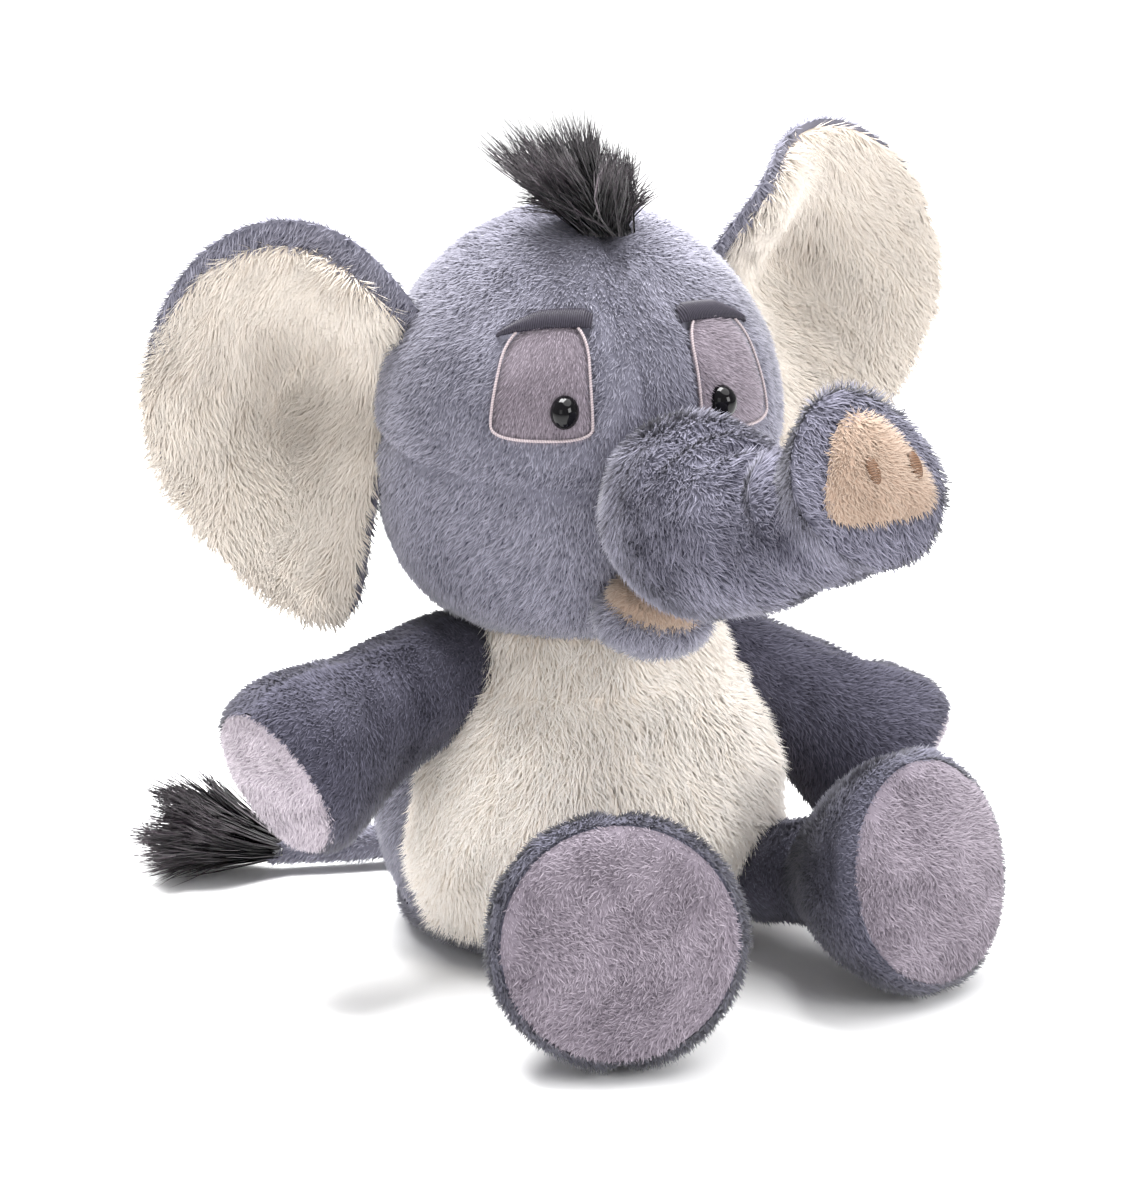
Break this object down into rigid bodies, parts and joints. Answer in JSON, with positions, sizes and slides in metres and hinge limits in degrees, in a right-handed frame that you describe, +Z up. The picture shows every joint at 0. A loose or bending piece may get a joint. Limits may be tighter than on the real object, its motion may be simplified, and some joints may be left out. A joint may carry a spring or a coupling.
{
  "type": "stuffed elephant toy",
  "caption": "Seated grey-blue plush elephant with cream belly and ears, lilac paw pads and soles, an upturned trunk and a dark hair tuft.",
  "frame": {"origin": "middle of the flat seat panel that the elephant sits on", "axes": "+Z up, -Y the way that the torso faces, +X towards the elephant's left"},
  "size_m": [0.2502, 0.2721, 0.2537],
  "materials": {
    "plush_grey": "short grey-blue plush pile",
    "plush_cream": "long soft cream plush pile",
    "plush_lilac": "short lilac plush pile",
    "plush_peach": "short peach plush pile",
    "long_pile_dark": "long clumped plum-black pile",
    "embroidery_lilac": "satin-stitched lilac thread",
    "embroidery_plum": "satin-stitched plum-grey thread",
    "embroidery_brown": "satin-stitched brown thread",
    "eye_black": "polished black bead",
    "washer_white": "moulded lock washer",
    "stuffing": "loose polyester fibre",
    "pellet_bag": "woven bag of plastic pellets"
  },
  "bodies": {
    "torso": {"body_back_left": "plush_grey", "body_back_right": "plush_grey", "belly_panel": "plush_cream", "seat_panel": "plush_grey", "body_stuffing": "stuffing", "pellet_bag": "pellet_bag", "neck_collar": "plush_grey"},
    "neck": {"neck_plug": "stuffing"},
    "head": {"forehead_left": "plush_grey", "forehead_right": "plush_grey", "cheek_left": "plush_grey", "cheek_right": "plush_grey", "head_stuffing": "stuffing", "lower_lip": "plush_grey", "mouth_lining": "plush_peach", "hair_tuft": "long_pile_dark", "eye_patch_left": "embroidery_lilac", "eyelid_left": "embroidery_plum", "eye_bead_left": "eye_black", "eye_washer_left": "washer_white", "eye_patch_right": "embroidery_lilac", "eyelid_right": "embroidery_plum", "eye_bead_right": "eye_black", "eye_washer_right": "washer_white"},
    "trunk": {"trunk_skin_left": "plush_grey", "trunk_skin_right": "plush_grey", "trunk_stuffing": "stuffing", "nose_pad": "plush_peach", "nostril_left": "embroidery_brown", "nostril_right": "embroidery_brown"},
    "ear_left": {"ear_back_left": "plush_grey", "ear_front_left": "plush_cream"},
    "ear_right": {"ear_back_right": "plush_grey", "ear_front_right": "plush_cream"},
    "arm_left": {"arm_left_skin_a": "plush_grey", "arm_left_skin_b": "plush_grey", "paw_pad_left": "plush_lilac", "arm_left_stuffing": "stuffing"},
    "arm_right": {"arm_right_skin_a": "plush_grey", "arm_right_skin_b": "plush_grey", "paw_pad_right": "plush_lilac", "arm_right_stuffing": "stuffing"},
    "leg_left": {"leg_left_skin_a": "plush_grey", "leg_left_skin_b": "plush_grey", "sole_left": "plush_lilac", "leg_left_stuffing": "stuffing"},
    "leg_right": {"leg_right_skin_a": "plush_grey", "leg_right_skin_b": "plush_grey", "sole_right": "plush_lilac", "leg_right_stuffing": "stuffing"},
    "tail": {"tail_skin_top": "plush_grey", "tail_skin_under": "plush_grey", "tail_stuffing": "stuffing", "tail_tuft": "long_pile_dark"}
  },
  "joints": [
    {"name": "head_turn", "type": "hinge", "parent": "torso", "child": "neck", "pos_m": [0, -0.019, 0.16], "axis": [0, 0, 1], "range_deg": [-30, 30]},
    {"name": "head_nod", "type": "hinge", "parent": "neck", "child": "head", "pos_m": [0, -0.019, 0.16], "axis": [-0.9903, 0.1392, 0], "range_deg": [-10, 12]},
    {"name": "trunk_lift", "type": "hinge", "parent": "head", "child": "trunk", "pos_m": [-0.00788, -0.09666, 0.152], "axis": [-0.9903, 0.1392, 0], "range_deg": [-8, 22]},
    {"name": "ear_fold_left", "type": "hinge", "parent": "head", "child": "ear_left", "pos_m": [0.05697, -0.01893, 0.1775], "axis": [-0.2541, 0.0357, 0.9665], "range_deg": [-30, 4]},
    {"name": "ear_fold_right", "type": "hinge", "parent": "head", "child": "ear_right", "pos_m": [-0.05474, -0.00323, 0.1775], "axis": [-0.2541, 0.0357, -0.9665], "range_deg": [-30, 4]},
    {"name": "arm_raise_left", "type": "hinge", "parent": "torso", "child": "arm_left", "pos_m": [0.0435, -0.0145, 0.084], "axis": [0, -1, 0], "range_deg": [0, 30]},
    {"name": "arm_raise_right", "type": "hinge", "parent": "torso", "child": "arm_right", "pos_m": [-0.0435, -0.0145, 0.084], "axis": [0, -1, 0], "range_deg": [-30, 0]},
    {"name": "leg_lift_left", "type": "hinge", "parent": "torso", "child": "leg_left", "pos_m": [0.0425, -0.058, 0.024], "axis": [-0.9531, -0.3026, 0], "range_deg": [-20, 7]},
    {"name": "leg_lift_right", "type": "hinge", "parent": "torso", "child": "leg_right", "pos_m": [-0.0241, -0.0679, 0.024], "axis": [-0.9355, 0.3532, 0], "range_deg": [-20, 7]},
    {"name": "tail_swing", "type": "hinge", "parent": "torso", "child": "tail", "pos_m": [-0.006, 0.0485, 0.013], "axis": [0, 0, 1], "range_deg": [-25, 12]}
  ]
}
